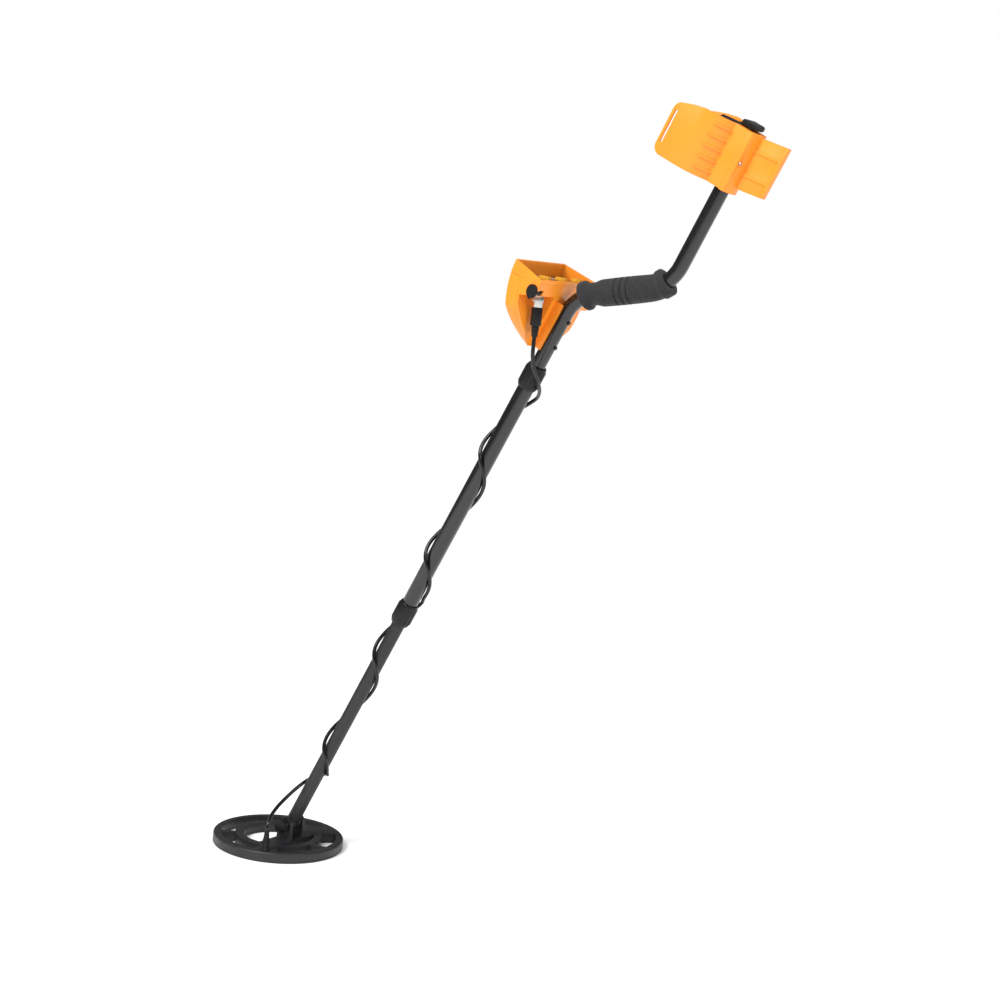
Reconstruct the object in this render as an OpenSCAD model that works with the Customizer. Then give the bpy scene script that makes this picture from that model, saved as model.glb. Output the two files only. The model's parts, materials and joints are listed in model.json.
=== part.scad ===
// Hand-held metal detector: round search coil, telescopic shaft, S-bent upper tube and arm cuff.
// Millimetres. The origin is the middle of the hand grip.
// +X points forward to the coil, +Y to the user's left, +Z up. The coil lies level.

/* [Shaft] */
// Slope of the telescopic shaft above the ground, in degrees
shaft_angle = 64.3; // [62:0.1:66]
// Slope of the grip section, in degrees
grip_angle = 10.3; // [8:0.1:13]
// Slope of the rear section, in degrees
rear_angle = 65.6; // [63:0.1:68]
// Distance from the tilt bolt to the corner of the front bend
shaft_len = 986; // [980:1:1000]
// Distance between the corners of the two bends
grip_len = 154; // [148:1:160]
// Radius of both bends, on the tube's centre line
bend_r = 62; // [58:1:64]

/* [Tubes] */
// Outer diameter of the S-bent upper tube
upper_d = 22; // [21.8:0.1:22]
// Outer diameter of the middle tube
middle_d = 24.4; // [24.4:0.1:24.8]
// Outer diameter of the lower tube
lower_d = 21; // [20.6:0.1:21]
// Wall of the two metal tubes
metal_wall = 1; // [0.8:0.1:1]
// Wall of the plastic lower tube
plastic_wall = 2; // [1.5:0.1:3]
// Place of the upper tube's lower end along the shaft
upper_end = 720; // [710:1:740]
// Place of the lower tube's upper end along the shaft
lower_end = 505; // [490:1:510]
// Length of the rear section, from the corner of the rear bend
rear_len = 236; // [225:1:238]

/* [Twist locks] */
// Place of the upper collar's lower end along the shaft
upper_lock = 830; // [826:1:832]
// Place of the lower collar's lower end along the shaft
lower_lock = 401; // [398:1:404]
// Length of each collar
collar_len = 38; // [36:1:39]
// Largest radius of each collar, over its ribs
collar_r = 16.2; // [16:0.1:16.2]
// Ribs round each collar
collar_ribs = 14; // [10:1:16]

/* [Search coil] */
// Outer radius of the coil
coil_r = 105; // [100:1:110]
// Height of the coil housing
coil_h = 16; // [15:1:18]
// Height of the tilt axis above the coil's base
tilt_height = 41; // [40:1:44]
// Distance of the tilt axis behind the coil's centre
tilt_back = 24.8; // [22:0.1:26]

/* [Control box] */
// Place of the box's rim along the shaft
box_top = 998; // [996:1:1000]
// Distance from the shaft's axis to the back of the box
box_back = 15; // [15:0.5:16]
// Distance from the shaft's axis to the front of the rim
box_front = 77; // [75:1:80]
// Half width of the rim at the back
box_w_back = 83; // [80:1:85]
// Half width of the rim at the front
box_w_front = 66; // [64:1:68]
// Height of the box below its rim
box_h = 106; // [104:1:108]
// Wall of the box
box_wall = 2.6; // [2.4:0.1:3]

/* [Arm cuff] */
// Radius of the cuff's outside
cuff_r = 50; // [48:1:52]
// Wall of the cuff
cuff_wall = 3.6; // [3:0.1:4]
// Distance from the rear tube's axis to the wings' free edges
cuff_top = 98; // [94:1:100]
// Place of the cuff's front edge along the rear section
cuff_start = 154; // [152:1:158]
// Place of the cuff's rear edge along the rear section
cuff_end = 240; // [239:1:244]

/* [Hidden] */
$fn = 64;

orange = "#ffb02a";
black = "#232325";
dark = "#3a3a3d";
steel = "#c8c9cc";

// ---- Frames ----

// Unit vectors along a line of the given slope, up and to the rear, and square to it in the middle plane
function along(a) = [-cos(a), 0, sin(a)];

front_corner = -grip_len / 2 * along(grip_angle);
rear_corner = grip_len / 2 * along(grip_angle);
tilt_axis = front_corner - shaft_len * along(shaft_angle);
coil_centre = tilt_axis + [tilt_back, 0, -tilt_height];

// Turns local Z to the slope; local X then points forward and up
module slope(a) {
    rotate([0, a - 90, 0]) children();
}

module shaft_frame(s = 0) {
    translate(tilt_axis + s * along(shaft_angle)) slope(shaft_angle) children();
}

module rear_frame(t = 0) {
    translate(rear_corner + t * along(rear_angle)) slope(rear_angle) children();
}

module grip_frame() {
    slope(grip_angle) children();
}

// ---- Tube helpers ----

front_turn = shaft_angle - grip_angle;
rear_turn = rear_angle - grip_angle;
front_tangent = bend_r * tan(front_turn / 2);
rear_tangent = bend_r * tan(rear_turn / 2);
grip_straight = grip_len - front_tangent - rear_tangent;

module ring(r_out, r_in, h) {
    difference() {
        cylinder(r = r_out, h = h);
        translate([0, 0, -1]) cylinder(r = r_in, h = h + 2);
    }
}

// An arc of round bar about the local Y axis, which starts at the origin and leaves along +Z.
// side is -1 where it curves towards -X and 1 where it curves towards +X.
module arc_bar(r, from, to, side) {
    scale_x = side < 0 ? 0 : 1;
    translate([side * bend_r, 0, 0])
        mirror([scale_x, 0, 0])
            rotate([90, 0, 0])
                rotate([0, 0, from])
                    rotate_extrude(angle = to - from) translate([bend_r, 0]) circle(r);
}

// The upper tube's route as solid bar of radius r
module s_route(r, low, high) {
    shaft_frame(low) cylinder(r = r, h = shaft_len - front_tangent - low);
    shaft_frame(shaft_len - front_tangent) arc_bar(r, 0, front_turn, -1);
    grip_frame() translate([0, 0, front_tangent - grip_len / 2]) cylinder(r = r, h = grip_straight);
    grip_frame() translate([0, 0, grip_len / 2 - rear_tangent]) arc_bar(r, 0, rear_turn, 1);
    rear_frame(rear_tangent) cylinder(r = r, h = high - rear_tangent);
}

// ---- Upper tube and grip ----

bolt_places = [905, 947];
bolt_r = 2;
bolt_head_r = 2.8;

module s_tube() {
    color(black) difference() {
        s_route(upper_d / 2, upper_end, rear_len);
        s_route(upper_d / 2 - metal_wall, upper_end - 1, rear_len + 1);
        for (s = bolt_places) shaft_frame(s) rotate([0, 90, 0])
            cylinder(r = bolt_r + 0.1, h = 40, center = true);
    }
}

plug_rim = 3;

module tube_end_plug() {
    color(black) rear_frame(rear_len) {
        translate([0, 0, -14]) cylinder(r = upper_d / 2 - metal_wall - 0.02, h = 14);
        cylinder(r = upper_d / 2, h = plug_rim);
    }
}

foam_r = 20;
foam_flange_r = 21.5;
foam_front_turn = 16;
foam_rear_turn = 28;
foam_flange_turn = 9;
foam_grooves = [-8, -1.5, 5];

module foam_grip() {
    color(dark) difference() {
        union() {
            shaft_frame(shaft_len - front_tangent) {
                arc_bar(foam_r - 1.5, front_turn - foam_front_turn, front_turn, -1);
                arc_bar(foam_flange_r, front_turn - foam_front_turn, front_turn - foam_front_turn
                    + foam_flange_turn, -1);
            }
            grip_frame() translate([0, 0, front_tangent - grip_len / 2])
                cylinder(r = foam_r, h = grip_straight);
            grip_frame() translate([0, 0, grip_len / 2 - rear_tangent]) {
                arc_bar(foam_r - 1, 0, foam_rear_turn, 1);
                arc_bar(foam_flange_r, foam_rear_turn - foam_flange_turn * 1.4, foam_rear_turn, 1);
            }
        }
        s_route(upper_d / 2 + 0.05, upper_end, rear_len);
        for (z = foam_grooves) grip_frame() translate([0, 0, z]) ring(foam_r + 2, foam_r - 1.5, 1.6);
    }
}

// ---- Control box ----
// Box coordinates: X away from the tube, Z along the shaft, Z = 0 at the rim.

module box_frame() {
    shaft_frame(box_top) children();
}

box_steps = 12;
side_taper = (box_w_back - box_w_front) / (box_front - box_back);
// The vertical and horizontal directions, as slopes in box coordinates
upright = cos(shaft_angle) / sin(shaft_angle);
panel_slope = 0.34;
seam_slope = 0.242;
panel_at_back = -3;
seam_at_back = -6;
split_x = 63.1;

// Front and half width of the hull at height z below the rim, and its depth, all moved inwards by o
box_deep = box_front - box_back - 0.5;
function front_at(z, o) = box_front - o - box_deep * pow(z / box_h, 2);
function depth_at(o) = box_h * sqrt((box_deep - 2 * o) / box_deep);
function width_at(z, o) = (box_w_back - o) * (1 - 0.65 * pow(abs(z) / box_h, 3));
function panel_z(x) = panel_at_back - (x - box_back - 5) * panel_slope;
function seam_z(x) = seam_at_back - (x - box_back) * seam_slope;
function split_at(z) = split_x + z * upright;

// An outline in X and Z, given as points, extruded across the box from y0 to y1
module across(points, y0, y1) {
    translate([0, y1, 0]) rotate([90, 0, 0]) linear_extrude(y1 - y0) polygon(points);
}

// The hull's outside, or its inside when o is the wall; the inside runs on through the rim
module box_solid(o = 0) {
    top = o > 0 ? 1 : 0;
    zs = [for (i = [0:box_steps]) -depth_at(o) * i / box_steps];
    front = concat([[front_at(0, o), top]], [for (z = zs) [front_at(z, o), z]]);
    side = concat([[width_at(0, o), top]], [for (z = zs) [width_at(z, o), z]]);
    w = box_w_back - o;
    intersection() {
        across(concat([[box_back + o, top]], front, [[box_back + o, -depth_at(o)]]), -100, 100);
        rotate([90, 0, 90]) linear_extrude(100)
            polygon(concat(side, [for (i = [len(side) - 1:-1:0]) [-side[i][0], side[i][1]]]));
        translate([0, 0, -box_h]) linear_extrude(box_h + 1)
            polygon([[0, -w - box_back * side_taper], [100, -w + (100 - box_back) * side_taper],
                [100, w - (100 - box_back) * side_taper], [0, w + box_back * side_taper]]);
    }
}

// Everything above a sloping plane z = f(x), or below it, across the box
module above_seam(gap = 0) {
    across([[0, seam_z(0) + gap], [100, seam_z(100) + gap], [100, 20], [0, 20]], -100, 100);
}

module below_seam(gap = 0) {
    across([[0, seam_z(0) - gap], [100, seam_z(100) - gap], [100, -120], [0, -120]], -100, 100);
}

module before_split(gap = 0) {
    across([[split_at(20) + gap, 20], [120, 20], [120, -130], [split_at(-130) + gap, -130]], -100, 100);
}

notch_left = 26;
notch_right = -50;

function ceiling_z(x) = -25 - (x - box_back) * upright;

// The recess that holds the coil plug, open to the left, to the rear and below
module plug_notch(e = 0) {
    across([[0, ceiling_z(0) + e], [41 + e, ceiling_z(41) + e], [14 + e, -82], [0, -104 - e]],
        notch_left - e, 100);
}

module side_notch(e = 0) {
    across([[0, -38 + e], [24 + e, -46 + e], [13 + e, -84], [0, -100 - e]], -100, notch_right + e);
}

socket_x = 107;
socket_y = 50;
ceiling_height = -19;
socket_r = 7;

// World frame at the coil socket, on the recess's ceiling
module socket_frame() {
    translate([socket_x, socket_y, ceiling_height]) children();
}

jack_x = 20;
jack_z = -20.5;
jack_y = box_w_back - (jack_x - box_back) * side_taper;
side_normal = atan(side_taper);

// Local Z points out of the box's left side at the headphone jack
module jack_frame() {
    box_frame() translate([jack_x, jack_y, jack_z])
        rotate([0, 0, -side_normal]) rotate([-90, 0, 0]) children();
}

jack_bore_r = 3.2;
jack_r = 4.4;
screw_places = [[-62, -14], [-45, -50]];

module box_housing() {
    color(orange) difference() {
        box_frame() difference() {
            intersection() {
                box_solid();
                below_seam();
            }
            before_split();
            plug_notch();
            side_notch();
            difference() {
                box_solid(box_wall);
                plug_notch(box_wall);
                side_notch(box_wall);
            }
            for (p = screw_places) translate([0, p[0], p[1]]) rotate([0, 90, 0]) cylinder(r = 1.6, h = 30);
            for (s = bolt_places) translate([0, 0, s - box_top]) rotate([0, 90, 0]) cylinder(r = 2.2, h = 40);
        }
        socket_frame() translate([0, 0, -8]) cylinder(r = socket_r + 0.1, h = 20);
        jack_frame() translate([0, 0, -20]) cylinder(r = jack_r + 0.1, h = 30);
    }
}

bezel_wall = 3;

module box_bezel() {
    color(orange) box_frame() difference() {
        intersection() {
            box_solid();
            above_seam(0.15);
        }
        box_solid(bezel_wall);
    }
}

panel_t = 2.4;
panel_tilt = atan(panel_slope);
panel_mid = 46;

// Local Z is square to the panel, local X runs forward on it, and the origin is on its top face
module panel_frame(x = 0, y = 0) {
    box_frame() translate([panel_mid, 0, panel_z(panel_mid)]) rotate([0, panel_tilt, 0]) translate([x, y, 0])
        children();
}

knob_x = -14;
knob_spread = 44;
meter_x = 10;
meter_size = [26, 48];
button_place = [9, 44];
speaker_place = [8, -44];
speaker_r = 14;

module control_panel() {
    color("#8a5a34") difference() {
        box_frame() intersection() {
            box_solid(bezel_wall);
            across([[10, panel_z(10)], [90, panel_z(90)], [90, panel_z(90) - panel_t],
                [10, panel_z(10) - panel_t]], -100, 100);
        }
        panel_frame(meter_x) cube([meter_size[0] + 0.4, meter_size[1] + 0.4, 20], center = true);
        for (y = [-1:1]) panel_frame(knob_x, y * knob_spread) translate([0, 0, -5]) cylinder(r = 3.7, h = 10);
        panel_frame(button_place[0], button_place[1]) translate([0, 0, -5]) cylinder(r = 5.2, h = 10);
        for (i = [-2:2], j = [-1:1]) panel_frame(speaker_place[0] + j * 5, speaker_place[1] + i * 5)
            translate([0, 0, -5]) cylinder(r = 1.2, h = 10);
    }
}

module battery_cover() {
    color(orange) box_frame() difference() {
        intersection() {
            box_solid();
            below_seam(0.35);
            before_split(0.35);
        }
        box_solid(box_wall);
    }
}

module circuit_board() {
    color("#1f6b3a") box_frame() {
        translate([25.5, -44, -50]) cube([1.6, 65, 26]);
        for (y = [-30, -12, 6]) translate([27.1, y, -45]) cube([3, 10, 12]);
    }
}

module loudspeaker() {
    color("#55565a") panel_frame(speaker_place[0], speaker_place[1]) {
        translate([0, 0, -panel_t - 5.1]) cylinder(r = speaker_r, h = 5);
        translate([0, 0, -panel_t - 10.1]) cylinder(r = 7, h = 5);
    }
}

meter_deep = 8.5;
needle_r = 0.9;

module meter_case() {
    color("#f2efe2") panel_frame(meter_x) difference() {
        translate([0, 0, -meter_deep / 2]) cube([meter_size[0], meter_size[1], meter_deep], center = true);
        translate([0, 0, 1.7]) cube([meter_size[0] - 2, meter_size[1] - 2, 8], center = true);
        translate([-8, 0, -8]) cylinder(r = needle_r + 0.05, h = 8);
    }
}

module meter_window() {
    color("#dfe8ee", 0.4) panel_frame(meter_x)
        translate([0, 0, -0.7]) cube([meter_size[0] - 2.1, meter_size[1] - 2.1, 1.2], center = true);
}

module meter_needle() {
    color("#c02020") panel_frame(meter_x) translate([-8, 0, 0]) {
        translate([0, 0, -7]) cylinder(r = needle_r, h = 5.4);
        translate([-2, -0.4, -1.95]) cube([17, 0.8, 0.35]);
    }
}

battery_size = [17.5, 26.5, 46];
battery_x = 121;
battery_low = -52;
battery_rows = [-20, 8];

module batteries() {
    color("#4a4d52") for (y = battery_rows)
        translate([battery_x, y - battery_size[1] / 2, battery_low]) cube(battery_size);
}

module battery_clips() {
    color(black) for (y = battery_rows) translate([battery_x + 1, y - 12, battery_low + battery_size[2]])
        cube([15, 24, 3]);
}

module coil_socket() {
    color(steel) socket_frame() difference() {
        union() {
            translate([0, 0, -4]) cylinder(r = socket_r, h = 14);
            translate([0, 0, box_wall + 1.2]) cylinder(r = socket_r + 2.4, h = 2.5);
        }
        translate([0, 0, -5]) cylinder(r = socket_r - 1.2, h = 10);
    }
}

module headphone_jack() {
    color(black) jack_frame() difference() {
        translate([0, 0, -13]) cylinder(r = jack_r, h = 13);
        translate([0, 0, -12]) cylinder(r = jack_bore_r, h = 13);
    }
}

cap_r = 10;
cap_t = 3;

module jack_cap() {
    color(black) jack_frame() translate([0, 0, 0.4]) {
        cylinder(r = cap_r, h = cap_t);
        translate([-2.5, 0, 0]) cube([5, cap_r + 2, 1.6]);
    }
}

module box_bolts() {
    color(black) for (s = bolt_places) shaft_frame(s) rotate([0, 90, 0]) {
        translate([0, 0, -upper_d / 2 - 2.6]) cylinder(r = bolt_head_r, h = 2.6);
        translate([0, 0, -upper_d / 2]) cylinder(r = bolt_r, h = upper_d / 2 + 22.5);
    }
}

module box_nuts() {
    color(steel) for (s = bolt_places) shaft_frame(s) rotate([0, 90, 0])
        translate([0, 0, box_back + box_wall]) difference() {
            cylinder(r = 4, h = 3.2, $fn = 6);
            translate([0, 0, -1]) cylinder(r = bolt_r + 0.01, h = 6);
        }
}

module case_screws() {
    color(steel) box_frame() for (p = screw_places) translate([box_back, p[0], p[1]]) rotate([0, 90, 0]) {
        translate([0, 0, -1.6]) cylinder(r = 3.2, h = 1.6);
        cylinder(r = 1.5, h = 9);
    }
}

saddle_w = 29;
saddle_start = 893;
saddle_len = 74;

module tube_saddle() {
    color(orange) shaft_frame(saddle_start) difference() {
        translate([3, -saddle_w / 2, 0]) cube([box_back - 3, saddle_w, saddle_len]);
        translate([0, 0, -1]) cylinder(r = upper_d / 2 + 0.05, h = saddle_len + 2);
        for (s = bolt_places) translate([0, 0, s - saddle_start]) rotate([0, 90, 0])
            cylinder(r = bolt_r + 0.1, h = 30);
    }
}

knob_r = 9;
knob_h = 5;
pot_shaft_r = 3;

// A round knob with grip ribs and a pointer line
module knob(y) {
    color("#d79a22") panel_frame(knob_x, y) difference() {
        union() {
            translate([0, 0, 0.6]) cylinder(r = knob_r - 0.8, h = knob_h);
            for (a = [0:30:330]) rotate([0, 0, a]) translate([knob_r - 1.2, 0, 1])
                cylinder(r = 1, h = knob_h - 1);
        }
        translate([0, 0, -1]) cylinder(r = pot_shaft_r + 0.05, h = 4.8);
        translate([1, -0.6, knob_h]) cube([knob_r, 1.2, 2]);
    }
}

module potentiometers() {
    color("#a9aaae") for (y = [-1:1]) panel_frame(knob_x, y * knob_spread) {
        translate([0, 0, -panel_t - 8.1]) cylinder(r = 8, h = 8);
        translate([0, 0, -panel_t - 0.2]) cylinder(r = 3.6, h = panel_t + 0.2);
        cylinder(r = pot_shaft_r, h = 3.4);
    }
}

module power_button() {
    color("#c8402a") panel_frame(button_place[0], button_place[1]) {
        translate([0, 0, -panel_t - 2]) cylinder(r = 6.5, h = 1.4);
        translate([0, 0, -panel_t - 1]) cylinder(r = 5, h = panel_t + 4);
    }
}

// ---- Arm cuff ----
// Cuff coordinates: Z along the rear tube, X away from it towards the arm.

cuff_mid = 62;
base_w = 22;
base_low = -5;
slot_start = 171;
slot_end = 219;
slot_x = 92;
slot_t = 4;
rib_out = 1.8;
rib_w = 2.6;
rib_pitch = 15.6;
clamp_low = -19;
stand_low = -62;
stand_t = 7;
foot_half = 4.7;

wing_inner = cuff_r - cuff_wall;
cuff_len = cuff_end - cuff_start;
corner_r = 13;
// Where the rounding at the wings' rear corner is centred along the cuff
wing_round = 218.7;
// Side outline of what is cut away behind the wings, whose rear edge leans forward towards the free edge
behind_wings = concat(
    [[50, cuff_end + 1], [70, cuff_end - 3]],
    [for (a = [72:-12:0]) [cuff_top - corner_r + corner_r * cos(a), wing_round + corner_r * sin(a)]],
    [[cuff_top + 1, wing_round], [cuff_top + 1, cuff_end + 9], [50, cuff_end + 9]]
);
channel_w = 11.4;
rib_turn = 58;
stand_screw_t = 196;
stand_screw_y = 16.5;

// Half ring round the arm with a straight wing on each side
module cuff_shell() {
    translate([cuff_mid, 0, cuff_start]) rotate([0, 0, 90])
        rotate_extrude(angle = 180) translate([wing_inner, 0]) square([cuff_wall, cuff_len]);
    for (side = [0, 1]) mirror([0, side, 0]) translate([cuff_mid, wing_inner, cuff_start])
        cube([cuff_top - cuff_mid, cuff_wall, cuff_len]);
}

// Block under the ring, which sits over the tube
module cuff_base() {
    difference() {
        translate([base_low, -base_w, cuff_start]) cube([24, 2 * base_w, cuff_len]);
        translate([cuff_mid, 0, cuff_start - 1]) cylinder(r = cuff_r - 1, h = cuff_len + 2);
        translate([base_low - 1, -channel_w, cuff_start - 1])
            cube([-base_low + 1, 2 * channel_w, cuff_len + 2]);
    }
}

// What is cut away to round a wing's corner; the corner is the origin
module corner_cut() {
    difference() {
        translate([-corner_r, -60, -1]) cube([corner_r + 1, 120, corner_r + 1]);
        translate([-corner_r, 0, corner_r]) rotate([90, 0, 0]) cylinder(r = corner_r, h = 130, center = true);
    }
}

module arm_cuff() {
    color(orange) rear_frame() difference() {
        union() {
            cuff_shell();
            cuff_base();
            for (i = [0:4]) translate([cuff_mid, 0, cuff_start + 12 + i * rib_pitch])
                rotate([0, 0, 180 - rib_turn]) rotate_extrude(angle = 2 * rib_turn)
                    translate([cuff_r - 0.6, -rib_w / 2]) square([rib_out + 0.6, rib_w]);
        }
        translate([0, 0, cuff_start - 1]) cylinder(r = upper_d / 2 + 0.05, h = cuff_len + 2);
        translate([cuff_top, 0, cuff_start]) corner_cut();
        across(behind_wings, -60, 60);
        for (side = [-1, 1]) translate([slot_x - slot_t / 2, side * cuff_r - 8, slot_start])
            cube([slot_t, 16, slot_end - slot_start]);
        for (side = [-1, 1]) translate([base_low - 1, side * stand_screw_y, stand_screw_t])
            rotate([0, 90, 0]) cylinder(r = 1.6, h = 12);
    }
}

module arm_stand() {
    color(orange) rear_frame() difference() {
        union() {
            difference() {
                translate([0, 0, cuff_start - 1]) linear_extrude(cuff_end - cuff_start + 1)
                    polygon([[base_low - 0.05, -base_w], [base_low - 0.05, base_w], [-12, base_w - 1],
                        [clamp_low, stand_t], [clamp_low, -stand_t], [-12, -base_w + 1]]);
                translate([0, 0, cuff_start - 2]) cylinder(r = upper_d / 2 + 0.05, h = cuff_end);
            }
            across([[clamp_low + 1, 162], [clamp_low + 1, 238], [stand_low, 244], [stand_low, 169]],
                -stand_t / 2, stand_t / 2);
            across([[stand_low + 4, 169], [stand_low + 4, 243], [stand_low, 243.5], [stand_low, 169.5]],
                -foot_half, foot_half);
            for (t = [184, 219]) across([[clamp_low, t - 2], [clamp_low, t + 2], [stand_low, t + 6],
                [stand_low, t + 2]], -stand_t / 2 - 1.2, stand_t / 2 + 1.2);
        }
        for (side = [-1, 1]) translate([-30, side * stand_screw_y, stand_screw_t]) rotate([0, 90, 0]) {
            cylinder(r = 1.6, h = 30);
            cylinder(r = 3.2, h = 16);
        }
    }
}

module stand_screws() {
    color(steel) rear_frame() for (side = [-1, 1]) translate([-14, side * stand_screw_y, stand_screw_t])
        rotate([0, 90, 0]) {
            translate([0, 0, -2]) cylinder(r = 3, h = 2);
            cylinder(r = 1.5, h = 16);
        }
}

strap_start = 176;
strap_w = 38;
strap_t = 1.8;
strap_r = wing_inner - 0.4;

// Side outline of the webbing, which slants from the slot back to the cuff's rear edge
strap_band = [[100, 176], [90, 176], [75, 196], [16, 202], [10, 202], [10, 246], [24, 246], [24, 239],
    [75, 234], [90, 214], [100, 214]];
tail_thick = 8.4;
tail_hem_r = 4.6;
tail_x = [-14, 16];
tail_z = 245.6;
tail_side = [-24, 12];

// The folded end of the webbing, which hangs over the cuff's rear edge
module strap_tail() {
    width = tail_side[1] - tail_side[0];
    translate([tail_x[0], tail_side[0], tail_z - tail_thick / 2])
        cube([tail_x[1] - tail_x[0], width, tail_thick]);
    for (x = tail_x) translate([x, tail_side[1], tail_z])
        rotate([90, 0, 0]) cylinder(r = tail_hem_r, h = width);
}

// The webbing passes out through the right wing's slot and lies along the inside of the cuff
module arm_strap() {
    color(black) rear_frame() {
        intersection() {
            translate([0, 0, strap_start]) linear_extrude(80) difference() {
                intersection() {
                    translate([cuff_mid, 0]) circle(strap_r);
                    translate([0, -100]) square([cuff_mid, 112]);
                }
                translate([cuff_mid, 0]) circle(strap_r - strap_t);
            }
            across(strap_band, -100, 100);
        }
        intersection() {
            translate([cuff_mid, -strap_r, strap_start]) cube([slot_x - cuff_mid + strap_t / 2, strap_t, 80]);
            across(strap_band, -100, 100);
        }
        translate([slot_x - strap_t / 2, -cuff_r - 4, strap_start])
            cube([strap_t, cuff_r - strap_r + 5.8, strap_w]);
        translate([slot_x - 20, -cuff_r - 4, strap_start]) cube([20.9, strap_t, strap_w]);
        strap_tail();
    }
}

// ---- Coil plug ----

nut_h = 15;
plug_h = 26;
boot_h = 17;
plug_top = -1;
nut_r = 8.6;
plug_r = 8;
cable_r = 2.9;

module plug_nut() {
    color(steel) socket_frame() translate([0, 0, plug_top - nut_h]) difference() {
        union() {
            cylinder(r = nut_r - 0.6, h = nut_h);
            for (a = [0:15:345]) rotate([0, 0, a]) translate([nut_r - 0.9, 0, nut_h - 7])
                cylinder(r = 0.9, h = 6);
        }
        translate([0, 0, -1]) cylinder(r = socket_r + 0.1, h = nut_h + 2);
    }
}

module plug_body() {
    color(black) socket_frame() translate([0, 0, plug_top - nut_h]) {
        translate([0, 0, -plug_h]) cylinder(r = plug_r, h = plug_h - 0.2);
        translate([0, 0, -0.3]) cylinder(r = socket_r, h = nut_h - 4);
    }
}

module plug_boot() {
    color(black) socket_frame() translate([0, 0, plug_top - nut_h - plug_h]) difference() {
        union() {
            rotate_extrude() polygon([[0, 0], [5.6, 0], [3.9, -boot_h], [0, -boot_h]]);
            for (i = [0:3]) translate([0, 0, -4 - 3.6 * i]) cylinder(r = 5.9 - 0.35 * i, h = 1.6);
        }
    }
}

// ---- Cable ----

cable_sides = 8;
turn_pitch = 185;
turn_wave = 25;
first_turn = 735;
turn_step = 20;
middle_from = -90;
middle_to = 630;
lower_to = 1260;
cable_gap = 0.8;
// What each length of cable is cut back where two lengths meet
cut_back = 0.15;

function unit(v) = v / norm(v);
function smooth(x) = let(c = max(0, min(1, x))) c * c * (3 - 2 * c);

// How far the cable is down the shaft after turning by a degrees about it
function turn_s(a) = first_turn - turn_pitch * a / 360 + turn_wave * (1 - cos(a)) / 2;

// The cable stands off the tubes, and further off beside a collar
function beside(s, low) = smooth((s - low + 16) / 14) * smooth((low + collar_len + 16 - s) / 14);
function turn_r(s) =
    let(on_lower = smooth((lower_lock + 10 - s) / 20))
    let(tube = middle_d / 2 + (lower_d - middle_d) / 2 * on_lower)
    let(lift = max(beside(s, lower_lock), beside(s, upper_lock)))
    cable_r + cable_gap + tube + lift * (collar_r - tube);

function turn_point(a) =
    let(s = turn_s(a))
    let(r = turn_r(s) + 1.2 * (1 + cos(a)) / 2)
    tilt_axis + s * along(shaft_angle)
        + r * cos(a) * [sin(shaft_angle), 0, cos(shaft_angle)] + [0, r * sin(a), 0];

// The direction of the wound cable
function turn_way(a) = unit(turn_point(a + 1) - turn_point(a - 1));

function turns(from, to) = concat(
    [turn_point(from) + cut_back * turn_way(from)],
    [for (i = [1:round((to - from) / turn_step) - 1]) turn_point(from + i * turn_step)],
    [turn_point(to) - cut_back * turn_way(to)]
);

// Routes of the two free stretches: plug to shaft, and shaft to coil
upper_route = concat(
    [[107, 50, -79], [107, 50, -92], [107, 49, -105], [108, 42, -120], [109, 30, -134], [113, 15, -147],
        [121, -2, -158], [132, -15, -168], [145, -19, -177]],
    [turn_point(middle_from) - cut_back * turn_way(middle_from)]
);
tail_route = concat(
    [turn_point(lower_to) + cut_back * turn_way(lower_to)],
    [[444.3, -5.5, -810.5], [450, -13, -812.5], [459, -17, -815], [472, -16, -821], [483.5, -6, -828.5],
        [489, 9, -838], [492, 23, -847], [494, 37, -856], [494, 51, -864], [492, 64, -871], [489, 74, -877],
        [486, 81, -884], [485.1, 84, -890], [485.1, 84, -895.8]]
);

function tangents(p, ways) = concat(
    [ways[0]],
    [for (i = [1:len(p) - 2]) unit(p[i + 1] - p[i - 1])],
    [ways[1]]
);
function carried(t, u, i = 0, out = []) =
    i == len(t) ? out
    : let(w = unit(u - (u * t[i]) * t[i])) carried(t, w, i + 1, concat(out, [w]));

// Round bar swept along the points p, whose ends face along the two directions in ways
module swept(p, r, up, ways) {
    t = tangents(p, ways);
    u = carried(t, up);
    n = cable_sides;
    rings = [for (i = [0:len(p) - 1], k = [0:n - 1])
        p[i] + r * (cos(360 * k / n) * u[i] + sin(360 * k / n) * cross(t[i], u[i]))];
    walls = [for (i = [0:len(p) - 2], k = [0:n - 1])
        [i * n + k, (i + 1) * n + k, (i + 1) * n + (k + 1) % n, i * n + (k + 1) % n]];
    first = [for (k = [0:n - 1]) k];
    last = [for (k = [n - 1:-1:0]) (len(p) - 1) * n + k];
    polyhedron(rings, concat([first], walls, [last]));
}

module cable_upper() {
    color(black) swept(upper_route, cable_r, [1, 0.2, 1], [[0, 0, -1], turn_way(middle_from)]);
}

module cable_middle() {
    color(black) swept(turns(middle_from, middle_to), cable_r, [0, 0, 1],
        [turn_way(middle_from), turn_way(middle_to)]);
}

module cable_lower() {
    color(black) swept(turns(middle_to, lower_to), cable_r, [0, 0, 1],
        [turn_way(middle_to), turn_way(lower_to)]);
}

module cable_tail() {
    color(black) swept(tail_route, cable_r, [0, 0, 1], [turn_way(lower_to), [0, 0, -1]]);
}

// ---- Middle tube and twist locks ----

collet_r = 13.8;
collar_bore = 14;

module middle_tube() {
    color(black) shaft_frame(lower_lock + 8)
        ring(middle_d / 2, middle_d / 2 - metal_wall, upper_lock + collar_len - 8 - lower_lock - 8);
}

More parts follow.
